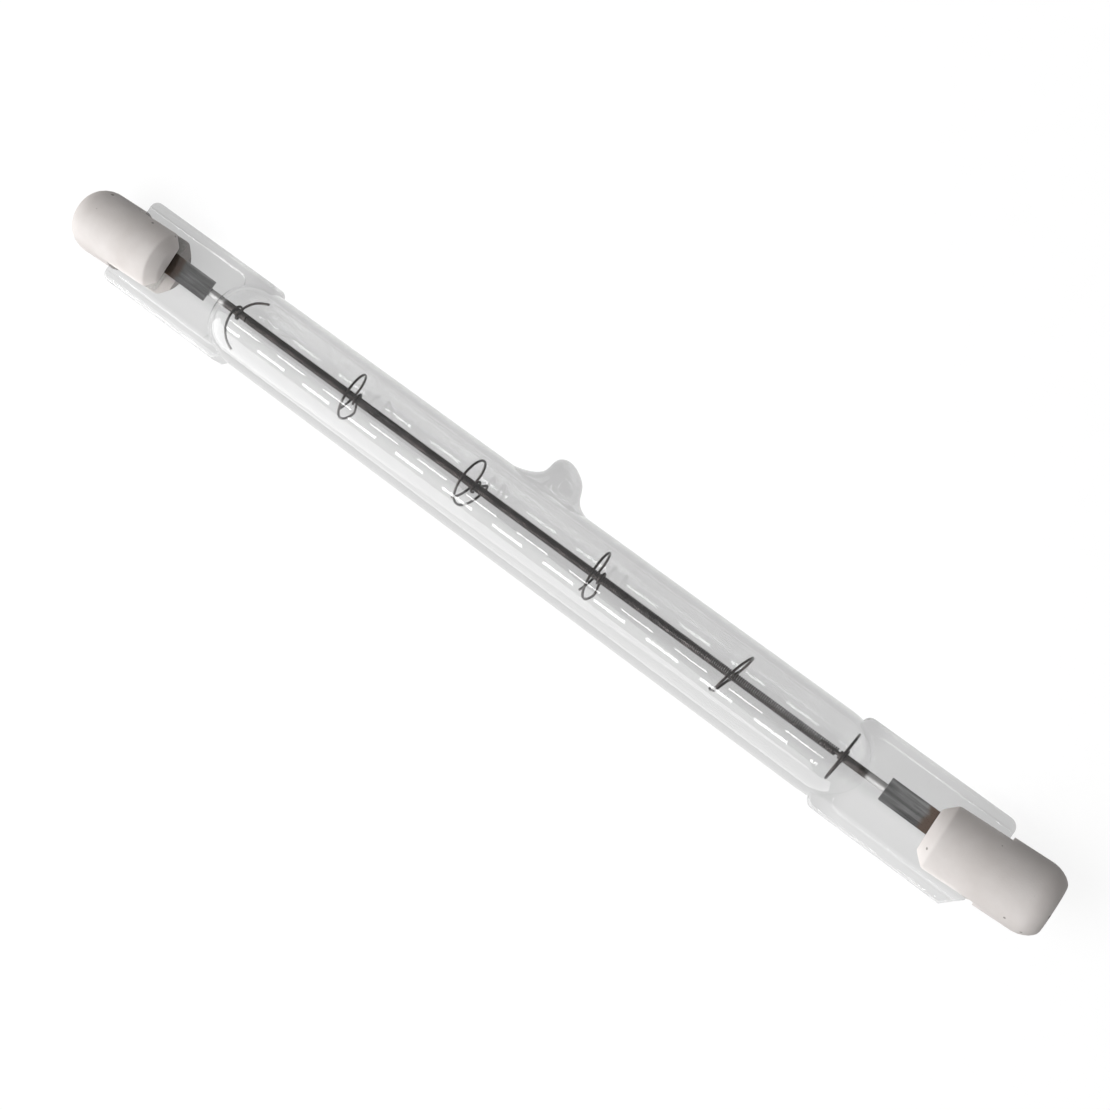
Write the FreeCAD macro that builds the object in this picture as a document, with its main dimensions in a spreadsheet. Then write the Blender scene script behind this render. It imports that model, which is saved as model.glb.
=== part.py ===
import FreeCAD, Part
import math
import os
import re

import Sketcher

# Linear halogen bulb, in millimetres.
# The lamp's own frame has X along the tube, from the left cap to the right cap, Y towards the exhaust tip
# in the plane of the two pinches, and Z square to them. The rest placement rolls that frame about X until
# the tube and the tip both lie on the floor, which is Z = 0.

SIZES = (
    ("overall_length", 117.6, "over the outer ends of both caps"),
    ("tube_diameter", 8.6, "outside of the round quartz tube"),
    ("tube_wall", 1.0, "wall of the round tube"),
    ("shoulder_knee_length", 2.4, "start of a shoulder to its knee"),
    ("shoulder_knee_drop", 0.5, "tube's surface down to a shoulder's knee"),
    ("shoulder_end_length", 2.0, "knee of a shoulder to its end in the pinch"),
    ("shoulder_end_radius", 1.0, "shoulder where it ends in the pinch"),
    ("bore_overrun", 1.7, "straight bore beyond the round tube"),
    ("hollow_end_length", 2.5, "end of the straight bore to the end of the hollow"),
    ("hollow_end_radius", 0.6, "hollow where it ends on the lead"),
    ("pinch_width", 9.8, "across the wings of a pinch"),
    ("pinch_thickness", 3.1, "over the ridges of a pinch"),
    ("pinch_edge_bevel", 0.4, "bevel around the edges of a pinch"),
    ("wing_inset", 0.9, "start of a shoulder to the start of the wings"),
    ("pinch_length", 16.2, "start of the wings to the end of the pinch"),
    ("wing_corner_round", 0.9, "rounded corners of a wing"),
    ("wing_corner_cut", 1.6, "broken-off corner of the right pinch"),
    ("ridge_width", 0.9, "ridge along each long edge of a pinch"),
    ("web_depth", 0.35, "pressed recess on each face of a pinch"),
    ("web_inset", 0.2, "end of a shoulder to the pressed recess"),
    ("web_corner_round", 1.2, "inner corners of the pressed recess"),
    ("tip_position", 0.6, "middle of the lamp to the tip"),
    ("tip_rise", 1.6, "tube's surface up to the centre of the tip's ball"),
    ("tip_radius", 1.85, "ball and stub of the tip"),
    ("tip_lean", 6.0, "lean of the tip towards the left cap, in degrees"),
    ("tip_fillet", 1.9, "run-out of the tip into the tube"),
    ("core_offset", 0.45, "filament and foils off the lamp axis, towards the tip"),
    ("filament_diameter", 0.9, "outside of the coil"),
    ("filament_bore", 0.46, "inside of the coil"),
    ("filament_overrun", 1.2, "coil beyond the round tube"),
    ("spigot_length", 2.0, "lead inside the end of the coil"),
    ("spigot_clearance", 0.02, "lead to the inside of the coil"),
    ("inner_lead_diameter", 0.84, "lead between coil and foil"),
    ("foil_setback", 2.5, "end of the pinch to the outer end of a foil"),
    ("foil_length", 8.4, "length of a foil"),
    ("foil_width", 2.35, "width of a foil"),
    ("foil_thickness", 0.06, "thickness of a foil"),
    ("weld_overlap", 1.3, "inner lead under the foil"),
    ("outer_lead_diameter", 0.7, "lead between foil and contact"),
    ("outer_lead_overlap", 3.6, "outer lead under the foil"),
    ("seal_gap", 0.02, "quartz to the metal sealed in it"),
    ("wire_diameter", 0.28, "wire of the filament supports"),
    ("loop_clearance", 0.2, "support's loop to the bore, where they are closest"),
    ("loop_rise", 1.3, "advance of a loop along the tube in one turn"),
    ("clasp_clearance", 0.02, "support to the filament or lead that it holds"),
    ("support_pitch", 15.45, "between neighbouring filament supports"),
    ("support_shift", 1.66, "middle of the lamp to the middle of the four supports"),
    ("end_support_overrun", 1.7, "right end support beyond the round tube"),
    ("bow_overrun", 2.7, "left end support beyond the round tube"),
    ("bow_clearance", 0.3, "left end support's curve to the bore"),
    ("bow_angle", 156.0, "sweep of the left end support, in degrees"),
    ("bow_advance", 0.6, "advance of the left end support in its turn around the lead"),
    ("cap_diameter", 6.9, "outside of a ceramic cap"),
    ("cap_length", 12.1, "length of a ceramic cap"),
    ("cap_outer_bevel", 1.0, "bevel at the outer end of a cap"),
    ("cap_inner_bevel", 1.0, "bevel at the inner end of a cap"),
    ("cap_lean_left", 2.8, "crookedness of the left cap on its pinch, in degrees"),
    ("cap_lean_right", 3.3, "crookedness of the right cap on its pinch, in degrees"),
    ("lean_depth", 9.3, "outer end of a cap to the point about which it leans"),
    ("slot_clearance", 0.15, "cement between a face of the pinch and the slot"),
    ("slot_end_gap", 0.5, "end of the pinch to the floor of the slot"),
    ("cement_setback", 0.5, "surface of the cap to the cement in its slot"),
    ("recess_diameter", 4.0, "contact recess in a cap"),
    ("recess_depth", 1.7, "outer end of a cap to the step around the contact"),
    ("contact_sink", 0.2, "step in the recess to the contact's face"),
    ("contact_diameter", 3.5, "contact button"),
    ("contact_thickness", 0.8, "contact button"),
    ("contact_clearance", 0.05, "contact button to its seat"),
    ("shank_diameter", 1.5, "shank behind the contact button"),
    ("shank_length", 1.8, "shank behind the contact button"),
    ("shank_clearance", 0.1, "shank to the cap"),
    ("shank_gap", 1.3, "floor of the slot to the end of the shank"),
    ("lead_end_gap", 0.06, "end of the lead to the end of the shank it is welded to"),
    ("lead_clearance", 0.15, "lead to its hole in the cement"),
)

# Loop supports: label, place in the row of four, lean about Y, lean about Z, roll about X, turns
LOOP_SUPPORTS = (
    ("filament_support_2", -1.5, 8.0, -2.0, 150.0, 1.05),
    ("filament_support_3", -0.5, -3.0, -4.0, 200.0, 1.25),
    ("filament_support_4", 0.5, 2.0, -1.0, 140.0, 1.05),
    ("filament_support_5", 1.5, 4.0, -8.0, 250.0, 1.0),
)
END_SUPPORT_TURN = (0.0, -4.0, 200.0, 0.98)

# How far a cut reaches past the solid, so that it comes out clean
OVERCUT = 1.0
# Straight steps in one turn of wire, and sides of its section
LOOP_STEPS = 18
CLASP_STEPS = 9
WIRE_SIDES = 5
# Part of a clasp's turn that stays open, in degrees
CLASP_OPENING = 80.0

SIDES = (("left", -1), ("right", 1))

document = FreeCAD.newDocument("linear_halogen_bulb")
sheet = document.addObject("Spreadsheet::Sheet", "sizes")
for row, (alias, number, meaning) in enumerate(SIZES, start=1):
    sheet.set(f"A{row}", meaning)
    sheet.set(f"B{row}", str(number))
    sheet.setAlias(f"B{row}", alias)
document.recompute()

SIZE_NAMES = re.compile(r"\b(" + "|".join(alias for alias, number, meaning in SIZES) + r")\b")


def formula(text):
    """Put the sheet's name before each size in a formula."""
    return SIZE_NAMES.sub(r"sizes.\1", text)


def bind(target, **formulas):
    """Bind properties to formulas; a double underscore in a name stands for a dot."""
    for name, text in formulas.items():
        target.setExpression(name.replace("__", "."), formula(text))


def measure(text):
    """The present value of a formula."""
    return float(sheet.evalExpression(formula(text)))


# Places on the lamp, as formulas
TUBE_RADIUS = "(tube_diameter / 2)"
BORE_RADIUS = "(tube_diameter / 2 - tube_wall)"
CAP_OUTER = "(overall_length / 2)"
CAP_INNER = "(overall_length / 2 - cap_length)"
SEAT_STEP = f"({CAP_OUTER} - recess_depth)"
SEAT_FACE = f"({SEAT_STEP} - contact_sink)"
SEAT_FLOOR = f"({SEAT_FACE} - contact_thickness)"
SHANK_END = f"({SEAT_FLOOR} - shank_length)"
SLOT_FLOOR = f"({SHANK_END} - shank_gap)"
PINCH_END = f"({SLOT_FLOOR} - slot_end_gap)"
WING_START = f"({PINCH_END} - pinch_length)"
TUBE_HALF = f"({WING_START} - wing_inset)"
SHOULDER_KNEE = f"({TUBE_HALF} + shoulder_knee_length)"
SHOULDER_END = f"({SHOULDER_KNEE} + shoulder_end_length)"
BORE_END = f"({TUBE_HALF} + bore_overrun)"
HOLLOW_END = f"({BORE_END} + hollow_end_length)"
WEB_HALF = "(pinch_thickness / 2 - web_depth)"
WEB_SIDE = "(pinch_width / 2 - ridge_width)"
LEAD_END = f"({SHANK_END} - lead_end_gap)"
LEAN_PIVOT = "(overall_length / 2 - lean_depth)"
FOIL_END = f"({PINCH_END} - foil_setback)"
FOIL_START = f"({FOIL_END} - foil_length)"
FILAMENT_HALF = f"({TUBE_HALF} + filament_overrun)"
END_SUPPORT = f"({TUBE_HALF} + end_support_overrun)"
TIP_HEIGHT = f"({TUBE_RADIUS} + tip_rise)"
FOIL_FLOOR = "(inner_lead_diameter / 2)"
OUTER_LEAD_RISE = "((inner_lead_diameter - outer_lead_diameter) / 2)"

# Rest pose: the tip's ball and the tube touch the floor, and the lamp's box is centred on Y = 0
REST_ROLL = f"asin((tube_diameter / 2 - tip_radius) / ({TIP_HEIGHT} * cos(tip_lean)))"
TIP_REACH = f"({TIP_HEIGHT} * cos(tip_lean) * cos({REST_ROLL}) + tip_radius)"
WING_REACH = (
    f"(pinch_width / 2 * cos({REST_ROLL})"
    f" + (pinch_thickness / 2 - pinch_edge_bevel) * sin({REST_ROLL}))"
)
REST = (
    f"placement(vector(0; ({WING_REACH} - {TIP_REACH}) / 2; {TUBE_RADIUS});"
    f" vector(1; 0; 0); -{REST_ROLL})"
)


def lead_across(side, sign):
    """How far the outer lead runs off the lamp axis, to meet the shank of its crooked contact."""
    return f"({sign} * ({SHANK_END} - {LEAN_PIVOT}) * tan(cap_lean_{side}))"


def lean_placement(side, sign):
    """The rest placement of what sits crooked with one cap."""
    pivot = f"{sign} * {LEAN_PIVOT}"
    return (
        f"{REST} * placement(vector({pivot}; 0; 0); vector(0; 0; 1); cap_lean_{side})"
        f" * placement(vector(-({pivot}); 0; 0); vector(0; 0; 1); 0)"
    )


def new_body(label, placement=REST):
    body = document.addObject("PartDesign::Body", label)
    body.Label = label
    bind(body, Placement=placement)
    return body


def attach(feature, body, role, x="0", y="0", z="0"):
    """Attach a feature to one of its own body's origin planes, at an offset in that plane's frame."""
    plane = next(item for item in body.Origin.OriginFeatures if item.Role == role)
    feature.AttachmentSupport = [(plane, "")]
    feature.MapMode = "FlatFace"
    bind(feature, AttachmentOffset__Base__x=x, AttachmentOffset__Base__y=y, AttachmentOffset__Base__z=z)


def arc_between(start, end, radius, turn):
    """The shorter arc from start to end; turn is 1 for anticlockwise and -1 for clockwise."""
    chord = end - start
    middle = (start + end) * 0.5
    left = FreeCAD.Vector(-chord.y, chord.x, 0).normalize()
    rise = math.sqrt(max(radius ** 2 - (chord.Length / 2) ** 2, 0.0))
    centre = middle + left * (turn * rise)
    first, last = (start, end) if turn > 0 else (end, start)
    circle = Part.Circle(centre, FreeCAD.Vector(0, 0, 1), radius)
    first_angle = math.atan2(first.y - centre.y, first.x - centre.x)
    last_angle = math.atan2(last.y - centre.y, last.x - centre.x)
    return Part.ArcOfCircle(circle, first_angle, last_angle)


def held_at(piece, vertex, x, y):
    """Constraints, each with its formula, that hold a point of a sketch at a pair of formulas."""
    held = []
    for kind, axis, text in (("DistanceX", -2, x), ("DistanceY", -1, y)):
        if text == "0":
            held.append((Sketcher.Constraint("PointOnObject", piece, vertex, axis), None))
        else:
            held.append((Sketcher.Constraint(kind, -1, 1, piece, vertex, measure(text)), text))
    return held


def add_outline(sketch, corners):
    """Draw a closed outline of (x, y) corners; (x, y, radius, turn) starts an arc to the next corner."""
    points = [FreeCAD.Vector(measure(corner[0]), measure(corner[1]), 0) for corner in corners]
    ends = []
    limits = []
    for index, corner in enumerate(corners):
        start = points[index]
        end = points[(index + 1) % len(points)]
        if len(corner) == 2:
            piece = sketch.addGeometry(Part.LineSegment(start, end))
            ends.append((piece, 1, 2))
            continue
        radius, turn = corner[2], corner[3]
        piece = sketch.addGeometry(arc_between(start, end, measure(radius), turn))
        ends.append((piece, 1, 2) if turn > 0 else (piece, 2, 1))
        limits.append((Sketcher.Constraint("Radius", piece, measure(radius)), radius))
    for index, corner in enumerate(corners):
        piece, first, last = ends[index]
        after, after_first, after_last = ends[(index + 1) % len(ends)]
        limits.append((Sketcher.Constraint("Coincident", piece, last, after, after_first), None))
        limits.extend(held_at(piece, first, corner[0], corner[1]))
    held_before = sketch.ConstraintCount
    sketch.addConstraint([limit for limit, text in limits])
    for index, (limit, text) in enumerate(limits, start=held_before):
        if text:
            bind(sketch, **{f"Constraints[{index}]": text})


def mirrored(corners, sign):
    """An outline drawn for the right end, or the same one turned over for the left end."""
    if sign > 0:
        return corners
    turned = []
    for corner in corners:
        flipped = (f"-({corner[0]})" if corner[0] != "0" else "0", corner[1])
        if len(corner) == 4:
            flipped = flipped + (corner[2], -corner[3])
        turned.append(flipped)
    return turned


def new_sketch(body, name, role, corners, x="0", y="0", z="0"):
    sketch = body.newObject("Sketcher::SketchObject", name)
    attach(sketch, body, role, x, y, z)
    add_outline(sketch, corners)
    return sketch


def span(sign, inner, outer):
    """Start and length along X of a stretch between two distances from the lamp's middle."""
    start = inner if sign > 0 else f"-({outer})"
    return start, f"({outer} - {inner})"


def cut_rod(body, name, sign, diameter, inner, outer, across="0", up="0"):
    """Cut a round passage along the tube."""
    start, length = span(sign, inner, outer)
    rod = body.newObject("PartDesign::SubtractiveCylinder", name)
    attach(rod, body, "YZ_Plane", x=across, y=up, z=start)
    bind(rod, Radius=f"({diameter}) / 2", Height=length)
    document.recompute()


def cut_block(body, name, sign, width, height, inner, outer, across="0", floor="0"):
    """Cut a flat passage along the tube."""
    start, length = span(sign, inner, outer)
    block = body.newObject("PartDesign::SubtractiveBox", name)
    attach(block, body, "YZ_Plane", x=f"{across} - ({width}) / 2", y=floor, z=start)
    bind(block, Length=width, Width=height, Height=length)
    document.recompute()


def wing_outline(sign):
    """Plan of one pinch; the right one has lost its corner away from the tip."""
    half = "(pinch_width / 2)"
    corners = [(WING_START, f"-{half}")]
    if sign > 0:
        corners.append((f"{PINCH_END} - wing_corner_cut", f"-{half}"))
        corners.append((PINCH_END, f"-({half} - wing_corner_cut)"))
    else:
        corners.append((PINCH_END, f"-{half}"))
    corners.append((PINCH_END, half))
    corners.append((WING_START, half))
    return mirrored(corners, sign)


def web_outline(sign):
    """Plan of the pressed recess, which runs out at the end of the pinch."""
    start = f"({SHOULDER_END} + web_inset)"
    corners = [
        (f"{start} + web_corner_round", f"-{WEB_SIDE}"),
        (f"{PINCH_END} + {OVERCUT}", f"-{WEB_SIDE}"),
        (f"{PINCH_END} + {OVERCUT}", WEB_SIDE),
        (f"{start} + web_corner_round", WEB_SIDE, "web_corner_round", 1),
        (start, f"{WEB_SIDE} - web_corner_round"),
        (start, f"-({WEB_SIDE} - web_corner_round)", "web_corner_round", 1),
    ]
    return mirrored(corners, sign)


def both_ends(half):
    """A whole profile above the lamp axis, from its right half listed from the end inwards."""
    return half[::-1] + [(f"-({x})", y) for x, y in half]


def edges_of(shape, test):
    """Names of the edges that pass a test; the pole of a ball is no edge."""
    numbered = enumerate(shape.Edges, start=1)
    return [f"Edge{number}" for number, edge in numbered if not edge.Degenerated and test(edge)]


def points_of(edge):
    return edge.discretize(5)


def build_plates(body):
    """The flat plates of both pinches, with rounded corners and bevelled edges."""
    sketch = new_sketch(body, "plates_plan", "XY_Plane", wing_outline(1))
    add_outline(sketch, wing_outline(-1))
    plates = body.newObject("PartDesign::Pad", "plates")
    plates.Profile = sketch
    plates.SideType = "Symmetric"
    bind(plates, Length="pinch_thickness")
    document.recompute()
    half_thickness = measure("pinch_thickness / 2")

    def is_corner(edge):
        points = points_of(edge)
        return abs(abs(points[0].z - points[-1].z) - 2 * half_thickness) < 1e-4

    def on_rim(edge):
        return all(abs(abs(point.z) - half_thickness) < 1e-4 for point in points_of(edge))

    corners = body.newObject("PartDesign::Fillet", "plate_corners")
    corners.Base = (plates, edges_of(plates.Shape, is_corner))
    bind(corners, Radius="wing_corner_round")
    document.recompute()
    rim = body.newObject("PartDesign::Chamfer", "plate_rim")
    rim.Base = (corners, edges_of(corners.Shape, on_rim))
    bind(rim, Size="pinch_edge_bevel")
    document.recompute()


def build_tube(body):
    """The round tube, whose shoulders close down into the pinches; its seam lies along its top at rest."""
    half = [
        (SHOULDER_END, "0"),
        (SHOULDER_END, "shoulder_end_radius"),
        (SHOULDER_KNEE, f"{TUBE_RADIUS} - shoulder_knee_drop"),
        (TUBE_HALF, TUBE_RADIUS),
    ]
    sketch = new_sketch(body, "tube_outline", "XY_Plane", both_ends(half))
    sketch.AttachmentOffset.Rotation.Axis = FreeCAD.Vector(1, 0, 0)
    bind(sketch, AttachmentOffset__Rotation__Angle=f"90 deg + {REST_ROLL}")
    tube = body.newObject("PartDesign::Revolution", "tube")
    tube.Profile = sketch
    tube.ReferenceAxis = (sketch, ["H_Axis"])
    document.recompute()


def build_hollow(body):
    """The bore and its closed ends."""
    half = [
        (HOLLOW_END, "0"),
        (HOLLOW_END, "hollow_end_radius"),
        (BORE_END, BORE_RADIUS),
    ]
    hollow = body.newObject("PartDesign::Groove", "hollow")
    hollow.Profile = new_sketch(body, "hollow_outline", "XY_Plane", both_ends(half))
    hollow.ReferenceAxis = (hollow.Profile[0], ["H_Axis"])
    document.recompute()


def build_webs(body, side, sign):
    """The pressed recess on each face of one pinch."""
    faces = (("front", "pinch_thickness / 2", False), ("back", "-pinch_thickness / 2", True))
    for face, height, reverse in faces:
        recess = body.newObject("PartDesign::Pocket", f"web_{face}_{side}")
        recess.Profile = new_sketch(
            body, f"web_plan_{face}_{side}", "XY_Plane", web_outline(sign), z=height
        )
        recess.Reversed = reverse
        bind(recess, Length="web_depth")
        document.recompute()


def build_tip(body):
    """Sealed exhaust tip: a stub with a ball end that runs out into the tube."""
    outline = [
        ("0", BORE_RADIUS),
        ("tip_radius", BORE_RADIUS),
        ("tip_radius", TIP_HEIGHT, "tip_radius", 1),
        ("0", f"{TIP_HEIGHT} + tip_radius"),
    ]
    sketch = new_sketch(body, "tip_outline", "XY_Plane", outline, x="tip_position")
    sketch.AttachmentOffset.Rotation.Axis = FreeCAD.Vector(0, 0, 1)
    bind(sketch, AttachmentOffset__Rotation__Angle="tip_lean")
    tip = body.newObject("PartDesign::Revolution", "tip")
    tip.Profile = sketch
    tip.ReferenceAxis = (sketch, ["V_Axis"])
    document.recompute()
    radius = measure(TUBE_RADIUS)
    stub = measure("tip_radius")
    lean = math.radians(measure("tip_lean"))
    foot = FreeCAD.Vector(measure("tip_position"), 0, 0)
    axis = FreeCAD.Vector(-math.sin(lean), math.cos(lean), 0)

    def on_foot(edge):
        points = points_of(edge)
        on_tube = all(abs(math.hypot(point.y, point.z) - radius) < 1e-3 for point in points)
        on_stub = all(abs((point - foot).cross(axis).Length - stub) < 1e-3 for point in points)
        return on_tube and on_stub

    run_out = body.newObject("PartDesign::Fillet", "tip_run_out")
    run_out.Base = (tip, edges_of(tip.Shape, on_foot))
    bind(run_out, Radius="tip_fillet")
    document.recompute()


def build_envelope():
    """Quartz tube, pinched at both ends, with its tip, its hollow and the passages of the sealed metal."""
    body = new_body("quartz_envelope")
    body.AllowCompound = True
    build_plates(body)
    build_tube(body)
    build_tip(body)
    build_hollow(body)
    for side, sign in SIDES:
        build_webs(body, side, sign)
        cut_rod(
            body, f"inner_passage_{side}", sign, "inner_lead_diameter + 2 * seal_gap",
            BORE_END, f"({FOIL_START} + weld_overlap + seal_gap)", across="core_offset",
        )
        cut_block(
            body, f"foil_passage_{side}", sign, "foil_width + 2 * seal_gap", "foil_thickness + 2 * seal_gap",
            f"({FOIL_START} - seal_gap)", f"({FOIL_END} + seal_gap)",
            across="core_offset", floor=f"{FOIL_FLOOR} - seal_gap",
        )
        cut_rod(
            body, f"outer_passage_{side}", sign, "outer_lead_diameter + 2 * seal_gap",
            f"({FOIL_END} - outer_lead_overlap - seal_gap)", f"({PINCH_END} + {OVERCUT})",
            across=lead_across(side, sign), up=OUTER_LEAD_RISE,
        )
    return body


def add_rod(label, sign, diameter, inner, outer, across="0", up="0"):
    """A plain round rod along the tube, in the lamp's own frame."""
    start, length = span(sign, inner, outer)
    rod = document.addObject("Part::Cylinder", label)
    bind(
        rod, Radius=f"({diameter}) / 2", Height=length,
        Placement=f"{REST} * placement(vector({start}; {across}; {up}); vector(0; 1; 0); 90)",
    )
    return rod


def turned_body(label, outline, sign, placement=REST, offset="0"):
    """A body turned about the lamp axis, or about a line beside it."""
    body = new_body(label, placement)
    sketch = new_sketch(body, f"{label}_outline", "XY_Plane", mirrored(outline, sign), y=offset)
    turning = body.newObject("PartDesign::Revolution", f"{label}_turning")
    turning.Profile = sketch
    turning.ReferenceAxis = (sketch, ["H_Axis"])
    document.recompute()
    return body


def build_filament():
    """The coil, as a tube of its outside and inside diameters."""
    outline = [
        (f"-{FILAMENT_HALF}", "filament_bore / 2"),
        (FILAMENT_HALF, "filament_bore / 2"),
        (FILAMENT_HALF, "filament_diameter / 2"),
        (f"-{FILAMENT_HALF}", "filament_diameter / 2"),
    ]
    return turned_body("filament", outline, 1, offset="core_offset")


def build_inner_lead(side, sign):
    """Lead with a spigot inside the coil, welded under the foil."""
    spigot = "(filament_bore / 2 - spigot_clearance)"
    start = f"{FILAMENT_HALF} - spigot_length"
    end = f"{FOIL_START} + weld_overlap"
    outline = [
        (start, "0"),
        (end, "0"),
        (end, "inner_lead_diameter / 2"),
        (FILAMENT_HALF, "inner_lead_diameter / 2"),
        (FILAMENT_HALF, spigot),
        (start, spigot),
    ]
    return turned_body(f"inner_lead_{side}", outline, sign, offset="core_offset")


def build_foil(side, sign):
    start, length = span(sign, FOIL_START, FOIL_END)
    foil = document.addObject("Part::Box", f"foil_{side}")
    bind(
        foil, Length=length, Width="foil_width", Height="foil_thickness",
        Placement=(
            f"{REST} * placement(vector({start}; core_offset - foil_width / 2; {FOIL_FLOOR});"
            " vector(0; 0; 1); 0)"
        ),
    )
    return foil


def build_outer_lead(side, sign):
    return add_rod(
        f"outer_lead_{side}", sign, "outer_lead_diameter", f"({FOIL_END} - outer_lead_overlap)", LEAD_END,
        across=lead_across(side, sign), up=OUTER_LEAD_RISE,
    )


def ring_points(radius, start, stop, steps, rise=0.0):
    """Points round Z from one angle to another, in degrees, with a rise for each full turn."""
    count = max(2, round(abs(stop - start) / 360.0 * steps))
    points = []
    for number in range(count + 1):
        angle = start + (stop - start) * number / count
        turn = math.radians(angle)
        points.append(FreeCAD.Vector(radius * math.cos(turn), radius * math.sin(turn), rise * angle / 360.0))
    return points


def clasp_radius(held_diameter):
    """Corner radius of a clasp's turn whose straight steps clear what it holds."""
    clear = measure(f"({held_diameter} + wire_diameter) / 2 + clasp_clearance")
    return clear / math.cos(math.pi / CLASP_STEPS)


def bent_wire(label, points, placement):
    """A wire bent along points, in the support's own frame."""
    spine = document.addObject("Part::Polygon", f"{label}_spine")
    spine.Nodes = points
    section = document.addObject("Part::RegularPolygon", f"{label}_section")
    section.Polygon = WIRE_SIDES
    bind(section, Circumradius="wire_diameter / 2")
    facing = FreeCAD.Rotation(FreeCAD.Vector(0, 0, 1), points[1] - points[0])
    section.Placement = FreeCAD.Placement(points[0], facing)
    wire = document.addObject("Part::Sweep", label)
    wire.Sections = [section]
    wire.Spine = (spine, [])
    wire.Solid = True
    wire.Transition = "Right corner"
    bind(wire, Placement=placement)
    return wire


def build_loop_support(label, place, lean_y, lean_z, roll, turns):
    """A loop of wire that springs against the bore, with a leg and a clasp on the filament."""
    loop_radius = measure(f"{BORE_RADIUS} - core_offset - loop_clearance - wire_diameter / 2")
    clasp = ring_points(clasp_radius("filament_diameter"), CLASP_OPENING - 360.0, 0.0, CLASP_STEPS)
    loop = ring_points(loop_radius, 0.0, 360.0 * turns, LOOP_STEPS, measure("loop_rise"))
    placement = (
        f"{REST} * placement(vector({place}; core_offset; 0); vector(0; 1; 0); {lean_y})"
        f" * placement(vector(0; 0; 0); vector(0; 0; 1); {lean_z})"
        f" * placement(vector(0; 0; 0); vector(1; 0; 0); {roll})"
        " * placement(vector(0; 0; 0); vector(0; 1; 0); -90)"
    )
    return bent_wire(label, clasp + loop, placement)


def build_bow_support(label):
    """The left end support: a bow from wall to wall that takes one turn around the lead."""
    radius = measure(f"{BORE_RADIUS} - bow_clearance")
    half_sweep = measure("bow_angle / 2")
    offset = measure("core_offset")
    advance = measure("bow_advance")
    turn_radius = clasp_radius("inner_lead_diameter")
    crossing = math.degrees(math.asin(offset / radius))

    def arm(start, stop, shift):
        points = ring_points(radius, start, stop, LOOP_STEPS)
        return [FreeCAD.Vector(radius - point.x + shift, point.y, turn_radius) for point in points]

    start = radius * (1 - math.cos(math.radians(crossing)))
    around = ring_points(turn_radius, 0.0, 360.0, CLASP_STEPS, advance)
    turn = [FreeCAD.Vector(start + point.z, offset + point.y, point.x) for point in around]
    lower_arm = arm(-half_sweep, crossing, 0.0)[:-1]
    upper_arm = arm(crossing, half_sweep, advance)[1:]
    placement = f"{REST} * placement(vector(-({TUBE_HALF} + bow_overrun); 0; 0); vector(0; 0; 1); 0)"
    return bent_wire(label, lower_arm + turn + upper_arm, placement)


def build_cap(side, sign):
    """Slotted ceramic cap with a recess for the contact and a hole for its shank."""
    radius = "cap_diameter / 2"
    shank_hole = "(shank_diameter / 2 + shank_clearance)"
    seat = "(contact_diameter / 2 + contact_clearance)"
    outline = [
        (CAP_INNER, shank_hole),
        (SEAT_FLOOR, shank_hole),
        (SEAT_FLOOR, seat),
        (SEAT_STEP, seat),
        (SEAT_STEP, "recess_diameter / 2"),
        (CAP_OUTER, "recess_diameter / 2"),
        (CAP_OUTER, f"{radius} - cap_outer_bevel"),
        (f"{CAP_OUTER} - cap_outer_bevel", radius),
        (f"{CAP_INNER} + cap_inner_bevel", radius),
        (CAP_INNER, f"{radius} - cap_inner_bevel"),
    ]
    body = turned_body(f"ceramic_cap_{side}", outline, sign, lean_placement(side, sign))
    cut_block(
        body, f"slot_{side}", sign, "cap_diameter + slot_clearance", f"2 * ({WEB_HALF} + slot_clearance)",
        f"({CAP_INNER} - {OVERCUT})", SLOT_FLOOR, floor=f"-({WEB_HALF} + slot_clearance)",
    )
    return body


def build_contact(side, sign):
    """Contact button with a shank that the lead is welded to."""
    radius = "contact_diameter / 2"
    outline = [
        (SHANK_END, "0"),
        (SHANK_END, "shank_diameter / 2"),
        (SEAT_FLOOR, "shank_diameter / 2"),
        (SEAT_FLOOR, radius),
        (SEAT_FACE, radius),
        (SEAT_FACE, "0"),
    ]
    return turned_body(f"contact_{side}", outline, sign, lean_placement(side, sign))


def add_block(label, sign, width, height, inner, outer, placement=REST):
    """A plain block along the tube, centred on the lamp axis or on the axis of a crooked cap."""
    start, length = span(sign, inner, outer)
    block = document.addObject("Part::Box", label)
    corner = f"vector({start}; -({width}) / 2; -({height}) / 2)"
    bind(
        block, Length=length, Width=width, Height=height,
        Placement=f"{placement} * placement({corner}; vector(0; 0; 1); 0)",
    )
    return block


def build_cement(side, sign):
    """Cement that fills the slot around the pinch, set back from the surface of the cap."""
    filling = add_block(
        f"cement_filling_{side}", sign, "cap_diameter - 2 * cement_setback",
        f"2 * ({WEB_HALF} + slot_clearance)", f"({CAP_INNER} + cement_setback)", SLOT_FLOOR,
        lean_placement(side, sign),
    )
    web = add_block(
        f"cement_web_{side}", sign, "pinch_width", f"2 * {WEB_HALF}",
        f"({CAP_INNER} - {OVERCUT})", PINCH_END,
    )
    lead = add_rod(
        f"cement_hole_{side}", sign, "outer_lead_diameter + 2 * lead_clearance",
        f"({PINCH_END} - {OVERCUT})", f"({SLOT_FLOOR} + {OVERCUT})",
        across=lead_across(side, sign), up=OUTER_LEAD_RISE,
    )
    around_pinch = document.addObject("Part::Cut", f"cement_around_pinch_{side}")
    around_pinch.Base = filling
    around_pinch.Tool = web
    cement = document.addObject("Part::Cut", f"cement_{side}")
    cement.Base = around_pinch
    cement.Tool = lead
    return cement


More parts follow.
